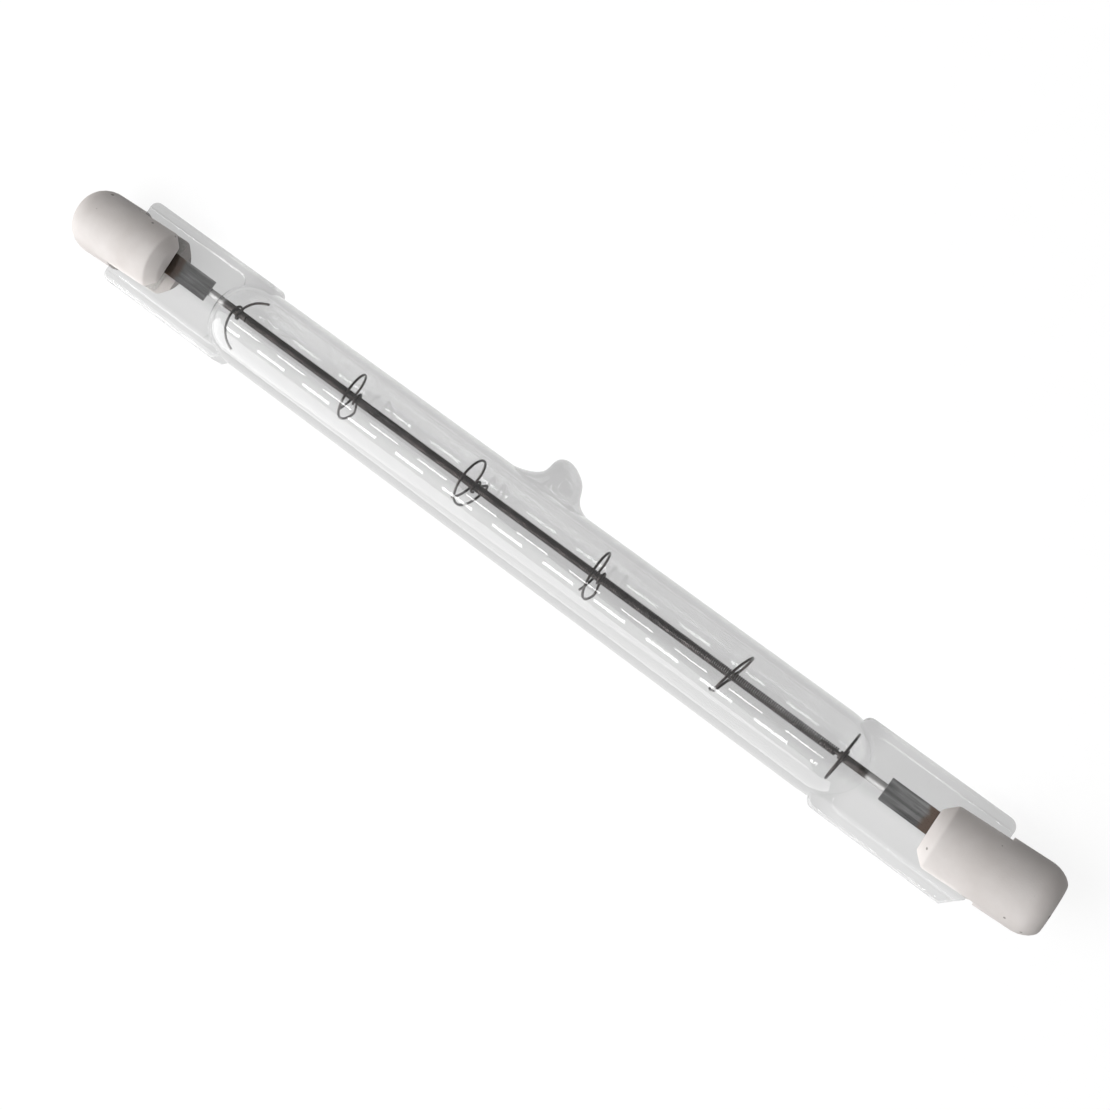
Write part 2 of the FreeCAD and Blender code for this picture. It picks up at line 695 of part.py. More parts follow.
parts = [build_envelope(), build_filament(), build_bow_support("filament_support_1")]
for label, row_place, lean_y, lean_z, roll, turns in LOOP_SUPPORTS:
    place = f"(support_shift + support_pitch * {row_place})"
    parts.append(build_loop_support(label, place, lean_y, lean_z, roll, turns))
parts.append(build_loop_support("filament_support_6", END_SUPPORT, *END_SUPPORT_TURN))
for side, sign in SIDES:
    parts.append(build_inner_lead(side, sign))
    parts.append(build_foil(side, sign))
    parts.append(build_outer_lead(side, sign))
    parts.append(build_contact(side, sign))
    parts.append(build_cap(side, sign))
    parts.append(build_cement(side, sign))
document.recompute()

for item in document.Objects:
    if "Invalid" in item.State or "Error" in item.State:
        raise RuntimeError(f"{item.Label} failed: {item.State}")
for part in parts:
    if part.Shape.isNull() or not part.Shape.isValid():
        raise RuntimeError(f"{part.Label} has no valid shape")

os.makedirs("parts", exist_ok=True)
for part in parts:
    part.Shape.exportStep(f"parts/{part.Label}.step")
    print(f"{part.Label}: {len(part.Shape.Solids)} solid, {part.Shape.Volume:.3f} mm3")
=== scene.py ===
# %% [markdown]
# A linear halogen bulb lies on a white table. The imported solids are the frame: they give each piece its
# place and size, and this lesson dresses them. Glass, wire and ceramic show every facet, so those pieces
# are modelled again with smooth surfaces, while plain rods and foils keep their solids and get a finish.

# %% Load the frame
import math

import bpy
from mathutils import Matrix, Vector


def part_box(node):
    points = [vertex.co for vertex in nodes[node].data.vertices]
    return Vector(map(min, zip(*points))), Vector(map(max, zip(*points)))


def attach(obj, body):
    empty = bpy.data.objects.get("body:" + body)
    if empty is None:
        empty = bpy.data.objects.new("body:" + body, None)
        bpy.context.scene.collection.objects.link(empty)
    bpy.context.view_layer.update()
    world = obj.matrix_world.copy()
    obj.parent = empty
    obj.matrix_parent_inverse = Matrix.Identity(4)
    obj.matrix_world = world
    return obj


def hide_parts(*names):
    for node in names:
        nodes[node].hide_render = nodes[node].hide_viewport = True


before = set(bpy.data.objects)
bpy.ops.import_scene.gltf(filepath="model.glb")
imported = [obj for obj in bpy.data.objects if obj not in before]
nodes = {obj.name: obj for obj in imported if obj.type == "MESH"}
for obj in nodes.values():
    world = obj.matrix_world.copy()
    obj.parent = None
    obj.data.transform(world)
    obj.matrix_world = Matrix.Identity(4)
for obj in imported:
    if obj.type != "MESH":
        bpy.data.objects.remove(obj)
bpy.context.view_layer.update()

# %% [markdown]
# The lamp has its own frame: X runs along the tube, Y points to the sealed tip and Z stands square on the
# two flat pinches. On the table it is rolled about X until tube and tip both touch. The filament lies a
# little off the tube's axis, and the caps lean on their pinches. Pieces are modelled upright in that own
# frame, one unit to a millimetre because many tools merge points that are closer than a few thousandths,
# and are then laid down and shrunk to metres in one step.

# %% The lamp's own frame
MM = 0.001
ROLL = math.radians(24.679)
AXIS_Y = -1.1247
TUBE_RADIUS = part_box("quartz_envelope")[1][2] / 2 / MM
CORE = 0.45
LEAN_PIVOT = 49.5
CAP_LEAN = {"left": 2.8, "right": 3.3}
SIDES = (("left", -1), ("right", 1))
ON_TABLE = (
    Matrix.Scale(MM, 4)
    @ Matrix.Translation((0, AXIS_Y, TUBE_RADIUS))
    @ Matrix.Rotation(-ROLL, 4, "X")
)
ON_CORE = ON_TABLE @ Matrix.Translation((0, CORE, 0))


def alone(piece):
    """Select one piece and nothing else."""
    bpy.ops.object.select_all(action="DESELECT")
    piece.select_set(True)
    bpy.context.view_layer.objects.active = piece


def lay_down(piece, placing):
    """Put a piece in its place and leave that place in its mesh."""
    alone(piece)
    piece.matrix_world = placing
    bpy.ops.object.transform_apply(location=True, rotation=True, scale=True)


def leaning(side, sign):
    """The place of what sits crooked on one end of the lamp."""
    pivot = Vector((sign * LEAN_PIVOT, 0, 0))
    turn = Matrix.Rotation(math.radians(CAP_LEAN[side]), 4, "Z")
    return ON_TABLE @ Matrix.Translation(pivot) @ turn @ Matrix.Translation(-pivot)


print("tube radius in millimetres:", round(TUBE_RADIUS, 3))

# %% [markdown]
# Finishes are node trees. A formula is easier to read than a heap of linked nodes, so a small class stands
# for one socket: plus, minus and times on it add a Math node, and its node method adds any other node.

# %% A socket that can be used in a formula
class Value:
    """A socket of a node tree."""

    def __init__(self, tree, socket):
        self.tree = tree
        self.socket = socket

    def node(self, kind, settings=None, output=0, inputs=None):
        """Add a node from its type, its settings, the output that is wanted and what its sockets get."""
        made = self.tree.nodes.new(kind)
        for name, setting in (settings or {}).items():
            if name == "stops":
                set_stops(made.color_ramp, setting)
            else:
                setattr(made, name, setting)
        for name, given in (inputs or {}).items():
            if isinstance(given, Value):
                self.tree.links.new(given.socket, made.inputs[name])
            else:
                made.inputs[name].default_value = given
        return Value(self.tree, made.outputs[output])

    def math(self, operation, first, second):
        return self.node("ShaderNodeMath", {"operation": operation}, inputs={0: first, 1: second})

    def __add__(self, other):
        return self.math("ADD", self, other)

    __radd__ = __add__

    def __sub__(self, other):
        return self.math("SUBTRACT", self, other)

    def __rsub__(self, other):
        return self.math("SUBTRACT", other, self)

    def __mul__(self, other):
        return self.math("MULTIPLY", self, other)

    __rmul__ = __mul__


def set_stops(band, stops):
    """Give a colour ramp's band its (place, grey or colour) stops."""
    while len(band.elements) < len(stops):
        band.elements.new(1.0)
    for element, (place, colour) in zip(band.elements, stops):
        element.position = place
        element.color = (*colour, 1.0) if isinstance(colour, tuple) else (colour, colour, colour, 1.0)


print("formulas are written with the class", Value.__name__)

# %% [markdown]
# A finish is a material with a Principled shader. Its patterns read Object coordinates, so they have one
# scale on all the pieces. What varies over a surface is linked to a socket, and what is the same all over
# is set on the socket as a plain number.

# %% New finishes
def new_finish(name):
    """A new material, its shader's sockets and the Object coordinates that its patterns read."""
    finish = bpy.data.materials.new(name)
    finish.use_nodes = True
    tree = finish.node_tree
    shader = tree.nodes["Principled BSDF"]
    place = Value(tree, None).node("ShaderNodeTexCoord", output="Object")
    return finish, shader.inputs, place


def feed(sockets, **links):
    """Link values to a shader's sockets; an underscore in a name stands for a space."""
    for name, value in links.items():
        value.tree.links.new(value.socket, sockets[name.replace("_", " ")])


def hold(sockets, **numbers):
    """Set a shader's sockets to plain numbers and colours."""
    for name, number in numbers.items():
        sockets[name.replace("_", " ")].default_value = number


print("finishes start from the Principled shader")

# %% [markdown]
# Few patterns are needed. Noise is drawn out along the tube for glass, foil and wire, because all of these
# were drawn or rolled in that direction. A soft step between two limits leads from one tone to the next.

# %% Patterns
def stretched(place, along, across):
    """Object coordinates scaled for a pattern that is longer along the tube than across it."""
    return place.node(
        "ShaderNodeMapping", {"vector_type": "POINT"},
        inputs={"Vector": place, "Rotation": (ROLL, 0, 0), "Scale": (along, across, across)},
    )


def from_middle(place):
    """Distance from the lamp's middle along the tube, in metres."""
    along = place.node("ShaderNodeSeparateXYZ", output="X", inputs={"Vector": place})
    return along.node("ShaderNodeMath", {"operation": "ABSOLUTE"}, inputs={0: along})


def smooth_step(value, low, high):
    """0 below one limit, 1 above the other, and a soft change between them."""
    return value.node(
        "ShaderNodeMapRange", {"interpolation_type": "SMOOTHSTEP"},
        inputs={"Value": value, "From Min": low, "From Max": high},
    )


def noise(place, scale, detail=4.0, roughness=0.55):
    """A soft random pattern around the middle between 0 and 1."""
    return place.node(
        "ShaderNodeTexNoise", output="Fac",
        inputs={"Vector": place, "Scale": scale, "Detail": detail, "Roughness": roughness},
    )


def ramp(value, *stops):
    """The colour that (place, grey or colour) stops give to a value."""
    return value.node("ShaderNodeValToRGB", {"stops": stops}, output="Color", inputs={"Fac": value})


def mixed(factor, first, second):
    """Two colours mixed by a factor."""
    return factor.node(
        "ShaderNodeMix", {"data_type": "RGBA"}, output=2, inputs={0: factor, 6: first, 7: second}
    )


def bump(height, strength, distance):
    """A normal that tilts as a pattern of heights rises and falls."""
    return height.node(
        "ShaderNodeBump", output="Normal",
        inputs={"Height": height, "Strength": strength, "Distance": distance},
    )


print("patterns are ready")

# %% [markdown]
# Where a point lies on the quartz decides its look. The hollow is a long bore with rounded ends, so a form
# a little larger than it parts its wall from the outer surface: a cylinder that closes like half an
# ellipsoid beyond its bend. Other soft steps mark the pinches, and the half away from the tip and its edge,
# where painted light is laid on.

# %% Places on the quartz
AXIS_POINT = Vector((0, AXIS_Y, TUBE_RADIUS)) * MM
TIPWARD = Vector((0, math.cos(ROLL), -math.sin(ROLL)))
PARTING_RADIUS = 3.75 * MM
PARTING_BEND = 36.3 * MM
PARTING_DEPTH = 3.4 * MM
PARTING_FADE = (0.9, 1.15)
PINCH_FADE = (37.0 * MM, 40.0 * MM)
PAINTED_LIGHT_HALF_FADE = (0.2 * MM, 1.6 * MM)
PAINTED_LIGHT_EDGE_FADE = (3.3 * MM, 3.7 * MM)
quartz, sockets, place = new_finish("clear_quartz")


def vector_math(operation, first, second, output=0):
    """What a Vector Math node makes of two vectors."""
    return first.node(
        "ShaderNodeVectorMath", {"operation": operation}, output=output, inputs={0: first, 1: second}
    )


def squared(value):
    return value * value


offset = vector_math("SUBTRACT", place, AXIS_POINT)
across = vector_math("MULTIPLY", offset, (0, 1, 1))
from_axis = vector_math("LENGTH", across, (0, 0, 0), "Value")
away_from_tip = 0.0 - vector_math("DOT_PRODUCT", offset, TIPWARD, "Value")
reach = from_middle(place)
past_bend = place.math("MAXIMUM", reach - PARTING_BEND, 0.0)
parting = squared(from_axis * (1 / PARTING_RADIUS)) + squared(past_bend * (1 / PARTING_DEPTH))
outer = smooth_step(parting, *PARTING_FADE)
pinched = smooth_step(reach, *PINCH_FADE)
# Painted light: the two soft steps below mark the side away from the tip and its edge, where the grey is
# drawn paler.
painted_light_half = smooth_step(away_from_tip, *PAINTED_LIGHT_HALF_FADE)
painted_light_edge = smooth_step(away_from_tip, *PAINTED_LIGHT_EDGE_FADE)
print("the hollow is parted from the outer surface at a radius of", PARTING_RADIUS, "m")

# %% [markdown]
# Fused quartz is almost colourless, yet in a bright room it looks a pale grey, because part of the light is
# lost at its surfaces. The grey given here is deeper than that loss: in part it is painted shade, standing
# for the dimmer surroundings seen through the glass. The grey lies on the outer surface and the wall of the
# hollow is clear, so a look through the tube, its rim, the tip or a pinch always crosses two grey surfaces
# and reads alike. The photograph shows hardly any bending of what lies behind, so the index is low, and a
# coat mirrors the lamps as quartz does. The pinches are paler. The half away from the tip, and its edge
# still more, are drawn paler too: that is painted light on the side that faces the lamps. A shallow wave
# makes the drawn surface uneven.

# %% Clear quartz
CLEAR = (1, 1, 1, 1)
haze = noise(stretched(place, 90, 260), 1.0, detail=2.0)
# Painted shade and light: the deep grey stands partly for dim surroundings, and the side away from the tip
# is drawn paler.
grey = 0.455 + 0.05 * haze + 0.105 * painted_light_half + 0.06 * painted_light_edge + 0.085 * pinched
feed(sockets, Base_Color=mixed(outer, CLEAR, grey))
feed(sockets, Coat_Weight=outer)
wave = noise(stretched(place, 120, 420), 1.0, detail=1.0)
feed(sockets, Normal=bump(wave, 0.03, 0.0002))
hold(sockets, Transmission_Weight=1.0, IOR=1.003, Roughness=0.0, Coat_IOR=1.458, Coat_Roughness=0.0)
print("finish:", quartz.name)

# %% [markdown]
# Drawn tungsten is a dark grey metal. Running hot leaves it with patches that are a little browner and
# duller, so two noises of different scale mix the colour and the roughness.

# %% Dark tungsten
DARK_TUNGSTEN = (0.012, 0.011, 0.011)
BROWN_TUNGSTEN = (0.06, 0.052, 0.05)
tungsten, sockets, place = new_finish("dark_tungsten")
patches = noise(place, 420)
grain = noise(stretched(place, 900, 5000), 1.0)
tone = patches * 0.7 + grain * 0.3
feed(sockets, Base_Color=ramp(tone, (0.35, DARK_TUNGSTEN), (0.65, BROWN_TUNGSTEN)))
feed(sockets, Roughness=0.2 + 0.2 * patches)
feed(sockets, Normal=bump(grain, 0.25, 0.00002))
hold(sockets, Metallic=1.0)
print("finish:", tungsten.name)

# %% [markdown]
# The molybdenum foil is etched thin and lies in the glass like a dull mirror, streaked along its length.
# The pin that it is welded to is dark where it stood in the hot gas. Where it enters the seal it is drawn
# paler: a painted reflection, standing for the thin air gap round the pin that mirrors the bright room.
# Close to its outer weld the foil has turned brown, which is where heat and air reach it first.

# %% Molybdenum foil and leads
BURNT_LEAD = (0.05, 0.045, 0.043, 1)
PAINTED_GLINT_LEAD = (0.30, 0.297, 0.295, 1)
BROWN_FOIL = (0.07, 0.045, 0.032, 1)
PAINTED_GLINT_FADE = (39.4 * MM, 39.9 * MM)
FOIL_FADE = (41.5 * MM, 41.7 * MM)
BROWN_FADE = (46.0 * MM, 46.6 * MM)
BROWN_WANDER = 1.2 * MM
molybdenum, sockets, place = new_finish("streaked_molybdenum")
streaks = noise(stretched(place, 160, 2600), 1.0, detail=6.0)
clouds = noise(stretched(place, 400, 900), 1.0)
reach = from_middle(place)
foil_grey = ramp(streaks * 0.75 + clouds * 0.25, (0.36, 0.035), (0.52, 0.085), (0.66, 0.18))
# Painted reflection: the pin is drawn paler where it enters the seal.
lead = mixed(smooth_step(reach, *PAINTED_GLINT_FADE), BURNT_LEAD, PAINTED_GLINT_LEAD)
sealed = mixed(smooth_step(reach, *FOIL_FADE), lead, foil_grey)
browned = smooth_step(reach + BROWN_WANDER * clouds, *BROWN_FADE)
feed(sockets, Base_Color=mixed(browned, sealed, BROWN_FOIL))
feed(sockets, Roughness=0.4 + 0.3 * clouds)
feed(sockets, Normal=bump(streaks, 0.3, 0.00003))
hold(sockets, Metallic=1.0)
print("finish:", molybdenum.name)

# %% [markdown]
# Steatite is pressed from powder and fired without a glaze: a matt, warm white with soft pinkish clouds,
# a fine grain and a few dark specks where dust was fired in.

# %% Matt steatite
steatite, sockets, place = new_finish("matt_steatite")
clouds = noise(place, 260, detail=3.0)
grain = noise(place, 5200, detail=3.0)
specks = place.node(
    "ShaderNodeTexVoronoi", {"feature": "F1"}, output="Distance",
    inputs={"Vector": place, "Scale": 620.0, "Randomness": 1.0},
)
rare = noise(place, 330, detail=1.0)
speck = ramp(specks + 0.5 * (1 - rare), (0.27, 1.0), (0.31, 0.0))
body_colour = ramp(clouds, (0.3, (0.66, 0.615, 0.59)), (0.7, (0.74, 0.70, 0.68)))
feed(sockets, Base_Color=mixed(speck, body_colour, (0.24, 0.22, 0.20, 1.0)))
feed(sockets, Roughness=0.62 + 0.2 * grain)
feed(sockets, Normal=bump(grain * 0.6 + clouds * 0.4, 0.35, 0.00006))
hold(sockets, IOR=1.5)
print("finish:", steatite.name)

# %% [markdown]
# The cement in the slot is a gritty paste, greyer than the cap. The contact button is nickel-plated, and
# the holder's spring has scuffed it.

# %% Cement and contact metal
cement, sockets, place = new_finish("gritty_cement")
grit = noise(place, 3800, detail=5.0, roughness=0.7)
feed(sockets, Base_Color=ramp(grit, (0.35, (0.50, 0.48, 0.45)), (0.65, (0.74, 0.72, 0.69))))
feed(sockets, Roughness=0.8 + 0.15 * grit)
feed(sockets, Normal=bump(grit, 0.8, 0.0001))
contact_metal, sockets, place = new_finish("worn_contact_metal")
wear = noise(place, 1400, detail=5.0)
feed(sockets, Base_Color=ramp(wear, (0.4, (0.50, 0.48, 0.45)), (0.62, (0.72, 0.70, 0.67))))
feed(sockets, Roughness=0.22 + 0.3 * wear)
feed(sockets, Normal=bump(wear, 0.2, 0.00003))
hold(sockets, Metallic=1.0)
print("finishes:", cement.name, contact_metal.name)

# %% [markdown]
# Most of this lamp is turned: tube, hollow, caps and contacts are outlines swung round an axis. By hand
# that is a single point, extruded from corner to corner and then spun. The seam is merged afterwards and
# the normals are made to point out, because a spin can leave them either way.

# %% Turning tools
MERGE = 0.0005


def close_up():
    """Merge the seam of a spun shape and turn its faces outwards, in edit mode."""
    bpy.ops.mesh.select_all(action="SELECT")
    bpy.ops.mesh.remove_doubles(threshold=MERGE)
    bpy.ops.mesh.normals_make_consistent(inside=False)


def new_point(name, start):
    """A mesh of one point, in edit mode."""
    bpy.ops.object.select_all(action="DESELECT")
    bpy.ops.mesh.primitive_plane_add(size=1)
    bpy.context.object.name = name
    bpy.ops.object.mode_set(mode="EDIT")
    bpy.ops.mesh.select_all(action="SELECT")
    bpy.ops.mesh.merge(type="CENTER")
    bpy.ops.transform.translate(value=start)


def turned(name, outline, steps):
    """Spin an outline of (place along X, radius) corners round the X axis."""
    new_point(name, (outline[0][0], outline[0][1], 0))
    for (x, radius), (next_x, next_radius) in zip(outline, outline[1:]):
        step = (next_x - x, next_radius - radius, 0)
        bpy.ops.mesh.extrude_vertices_move(TRANSFORM_OT_translate={"value": step})
    bpy.ops.mesh.select_all(action="SELECT")
    bpy.ops.mesh.spin(steps=steps, angle=math.tau, center=(0, 0, 0), axis=(1, 0, 0))
    close_up()
    bpy.ops.object.mode_set(mode="OBJECT")
    return bpy.context.object


def combine(piece, tool, operation):
    """Join a second mesh to a piece or cut it away, and delete that mesh."""
    alone(piece)
    change = piece.modifiers.new(operation.lower(), "BOOLEAN")
    change.operation = operation
    change.solver = "EXACT"
    change.object = tool
    bpy.ops.object.modifier_apply(modifier=change.name)
    bpy.data.objects.remove(tool)


def mirrored(outline):
    """An outline for the right half, listed inwards, and the same for the left half."""
    return outline + [(-x, radius) for x, radius in reversed(outline)]


def dress(piece, finish, node, smooth_angle=35):
    """Shade a finished piece, give it its finish, hang it under the root and hide the solid it stands for.
    """
    alone(piece)
    bpy.ops.object.shade_smooth_by_angle(angle=math.radians(smooth_angle))
    piece.data.materials.clear()
    piece.data.materials.append(finish)
    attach(piece, "root")
    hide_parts(node)
    print(piece.name, "has", len(piece.data.polygons), "faces")


print("seams merge within", MERGE, "mm")

# %% [markdown]
# The envelope starts as a quartz tube. The ends are softened in a flame and pressed flat, so the tube
# closes in a rounded shoulder and runs into a plate that is wider than itself. Shoulder and plate are
# easier to get right as two clean shapes that are joined: the turned tube first. Extra rings near the
# middle keep its faces short where the tip will join it.

# %% The tube with its shoulders
TUBE_TRIM = 0.004
GLASS_RADIUS = TUBE_RADIUS - TUBE_TRIM
TUBE_STEPS = 128
SHOULDER = [
    (39.8, 0.0), (39.78, 0.9), (39.6, 1.6), (39.3, 2.25), (38.9, 2.85), (38.4, 3.36), (37.8, 3.78),
    (37.1, 4.06), (36.3, 4.24), (35.4, GLASS_RADIUS),
]
RING_GAP = 0.8
RING_COUNT = 9
MIDDLE_RINGS = [(RING_GAP * number, GLASS_RADIUS) for number in range(RING_COUNT, 0, -1)]
glass = turned("quartz_glass", mirrored(SHOULDER + MIDDLE_RINGS), TUBE_STEPS)
print("tube faces:", len(glass.data.polygons))

# %% [markdown]
# Plates, slots and cement beds start as boxes. A box is a cube that is resized and moved in edit mode. The
# edges that need it are then picked by where they lie, and bevelled.

# %% Tools for boxes
NEAR_ENOUGH = 0.01


def block(name, corner, opposite):
    """A box between two opposite corners, in edit mode with all of it deselected."""
    bpy.ops.object.select_all(action="DESELECT")
    bpy.ops.mesh.primitive_cube_add(size=1)
    bpy.context.object.name = name
    bpy.ops.object.mode_set(mode="EDIT")
    bpy.ops.transform.resize(value=[abs(b - a) for a, b in zip(corner, opposite)])
    bpy.ops.transform.translate(value=[(a + b) / 2 for a, b in zip(corner, opposite)])
    bpy.ops.mesh.select_all(action="DESELECT")
    return bpy.context.object


def bevel_edges(piece, test, width, segments):
    """Bevel the edges whose two ends pass a test, in edit mode."""
    bpy.ops.mesh.select_mode(type="EDGE")
    bpy.ops.mesh.select_all(action="DESELECT")
    bpy.ops.object.mode_set(mode="OBJECT")
    for edge in piece.data.edges:
        ends = [piece.data.vertices[index].co for index in edge.vertices]
        edge.select = test(*ends)
    bpy.ops.object.mode_set(mode="EDIT")
    bpy.ops.mesh.bevel(offset=width, segments=segments, affect="EDGES")
    bpy.ops.mesh.select_mode(type="VERT")


def upright_at(x, y):
    """A test for the upright edge at one corner of a plan."""
    def test(*ends):
        return all(abs(end.x - x) < NEAR_ENOUGH and abs(end.y - y) < NEAR_ENOUGH for end in ends)
    return test


def level_at(z):
    """A test for the edges that lie at one height."""
    def test(*ends):
        return all(abs(end.z - z) < NEAR_ENOUGH for end in ends)
    return test


print("edges are picked within", NEAR_ENOUGH, "mm")

# %% [markdown]
# A pinch is a plate with rounded corners. The jaws that pressed it leave a ridge along each long edge, so a
# shallow block is cut out of both faces. The right plate has lost its lower outer corner, and the left one
# slopes into the tube on the side away from the tip.

# %% The pressed plates
PLATE_START = {"left": 35.0, "right": 36.6}
PLATE_END = 52.5
PLATE_HALF_WIDTH = 4.85
PLATE_HALF_THICKNESS = 1.55
CORNER_ROUND = 0.9
CORNER_SEGMENTS = 6
CORNER_LOSS = 1.6
CUT_CORNERS = (("left", False, -1), ("right", True, -1))
RIM_ROUND = 0.4
RIM_SEGMENTS = 4
WEB_START = 38.2
WEB_HALF_WIDTH = 4.0
WEB_HALF_THICKNESS = 1.25
WEB_ROUND = 1.2
WEB_EDGE_ROUND = 0.25
WEB_EDGE_SEGMENTS = 3
OVERRUN = 1.5


def on_rim(one, other):
    """A test for the edges round the two faces of a plate."""
    lowest = min(abs(one.z), abs(other.z))
    return lowest > PLATE_HALF_THICKNESS - NEAR_ENOUGH and one.z * other.z > 0


def pressed_plate(side, sign):
    """A plate with rounded or cut corners and a rounded rim."""
    inner, outer = sign * PLATE_START[side], sign * PLATE_END
    corner = (inner, -PLATE_HALF_WIDTH, -PLATE_HALF_THICKNESS)
    plate = block(f"plate_{side}", corner, (outer, PLATE_HALF_WIDTH, PLATE_HALF_THICKNESS))
    for x, y in ((inner, 1), (inner, -1), (outer, 1), (outer, -1)):
        edge = upright_at(x, y * PLATE_HALF_WIDTH)
        if (side, x == outer, y) in CUT_CORNERS:
            bevel_edges(plate, edge, CORNER_LOSS, 1)
        else:
            bevel_edges(plate, edge, CORNER_ROUND, CORNER_SEGMENTS)
    bevel_edges(plate, on_rim, RIM_ROUND, RIM_SEGMENTS)
    bpy.ops.object.mode_set(mode="OBJECT")
    return plate


def web_cutter(sign, face):
    """The block that the jaws press into one face of a plate."""
    inner, outer = sign * WEB_START, sign * (PLATE_END + OVERRUN)
    bottom, top = face * WEB_HALF_THICKNESS, face * (PLATE_HALF_THICKNESS + OVERRUN)
    cutter = block("web_cutter", (inner, -WEB_HALF_WIDTH, bottom), (outer, WEB_HALF_WIDTH, top))
    for y in (WEB_HALF_WIDTH, -WEB_HALF_WIDTH):
        bevel_edges(cutter, upright_at(inner, y), WEB_ROUND, CORNER_SEGMENTS)
    bevel_edges(cutter, level_at(bottom), WEB_EDGE_ROUND, WEB_EDGE_SEGMENTS)
    bpy.ops.object.mode_set(mode="OBJECT")
    return cutter


for side, sign in SIDES:
    plate = pressed_plate(side, sign)
    for face in (1, -1):
        combine(plate, web_cutter(sign, face), "DIFFERENCE")
    combine(glass, plate, "UNION")
print("tube and plates:", len(glass.data.polygons))

# %% [markdown]
# Halfway along, the glass was pumped out through a thin tube that was then melted off. A blunt knob is
# left, which spreads further along the tube than across it and hangs over to one side. It is made of rings:
# a circle is extruded upwards, and each new ring is shifted and scaled on its own.

# %% The sealed tip
TIP_PLACE = 0.28
TIP_RINGS = (
    (2.6, 2.6, 2.6, 0.1), (3.3, 3.2, 2.75, 0.1), (3.7, 4.1, 2.35, 0.1), (4.05, 4.7, 2.1, 0.05),
    (4.25, 4.6, 2.0, 0.05), (4.4, 4.0, 1.95, 0.1), (4.6, 3.4, 1.9, 0.2), (4.85, 2.9, 1.87, 0.33),
    (5.15, 2.5, 1.85, 0.46), (5.5, 2.2, 1.85, 0.55), (5.8, 2.05, 1.82, 0.57), (6.1, 1.94, 1.78, 0.54),
    (6.45, 1.82, 1.71, 0.46), (6.75, 1.66, 1.59, 0.36), (7.05, 1.42, 1.37, 0.23), (7.3, 1.13, 1.08, 0.11),
    (7.5, 0.8, 0.76, 0.02), (7.63, 0.46, 0.43, -0.03),
)
TIP_TOP = 7.7
TIP_SIDES = 64


def ringed(name, rings, top, vertices):
    """A closed shape of (height, half length, half width, shift) rings under a top point."""
    bpy.ops.object.select_all(action="DESELECT")
    bpy.ops.mesh.primitive_circle_add(vertices=vertices, radius=1, fill_type="NGON")
    bpy.context.object.name = name
    bpy.ops.object.mode_set(mode="EDIT")
    bpy.ops.mesh.select_all(action="SELECT")
    height, length, width, shift = rings[0]
    bpy.ops.transform.resize(value=(length, width, 1))
    bpy.ops.transform.translate(value=(shift, 0, height))
    for next_height, next_length, next_width, next_shift in rings[1:]:
        step = (next_shift - shift, 0, next_height - height)
        bpy.ops.mesh.extrude_region_move(TRANSFORM_OT_translate={"value": step})
        growth = (next_length / length, next_width / width, 1)
        bpy.ops.transform.resize(value=growth, center_override=(next_shift, 0, next_height))
        height, length, width, shift = next_height, next_length, next_width, next_shift
    bpy.ops.mesh.extrude_region_move(TRANSFORM_OT_translate={"value": (0, 0, top - height)})
    bpy.ops.mesh.merge(type="CENTER")
    close_up()
    bpy.ops.object.mode_set(mode="OBJECT")
    return bpy.context.object


tip = ringed("tip", TIP_RINGS, TIP_TOP, TIP_SIDES)
lay_down(tip, Matrix.Translation((TIP_PLACE, 0, 0)) @ Matrix.Rotation(-math.pi / 2, 4, "X"))
combine(glass, tip, "UNION")
print("with the tip:", len(glass.data.polygons))

# %% [markdown]
# The hollow comes last, so that it also clears what the plates and the tip left inside the tube. Its ends
# are rounded like the inside of a blown shape. Light falls through clear quartz nearly unhindered, so the
# glass throws no shadow on what is inside or behind it.

# %% The hollow
HOLLOW_END = [
    (39.6, 0.0), (39.55, 0.6), (39.3, 1.25), (38.9, 1.95), (38.4, 2.55), (37.9, 2.95), (37.3, 3.2),
    (36.6, 3.3),
]
GLASS_SMOOTHING = 30
combine(glass, turned("hollow", mirrored(HOLLOW_END), TUBE_STEPS), "DIFFERENCE")
lay_down(glass, ON_TABLE)
dress(glass, quartz, "quartz_envelope", GLASS_SMOOTHING)
even = glass.modifiers.new("even_shading", "WEIGHTED_NORMAL")
even.keep_sharp = True
bpy.ops.object.modifier_apply(modifier=even.name)
glass.visible_shadow = False

# %% [markdown]
# The filament is a long coil of fine wire. The Screw modifier winds a small ring of points along the X
# axis, turn after turn, which gives the close dark grain that a plain rod would lack.

# %% The coil
COIL_HALF = 36.6
COIL_MARGIN = 0.2
COIL_PITCH = 0.21
COIL_RADIUS = 0.36
COIL_WIRE_RADIUS = 0.09
COIL_WIRE_SIDES = 6
COIL_STEPS = 12
COIL_SMOOTHING = 60


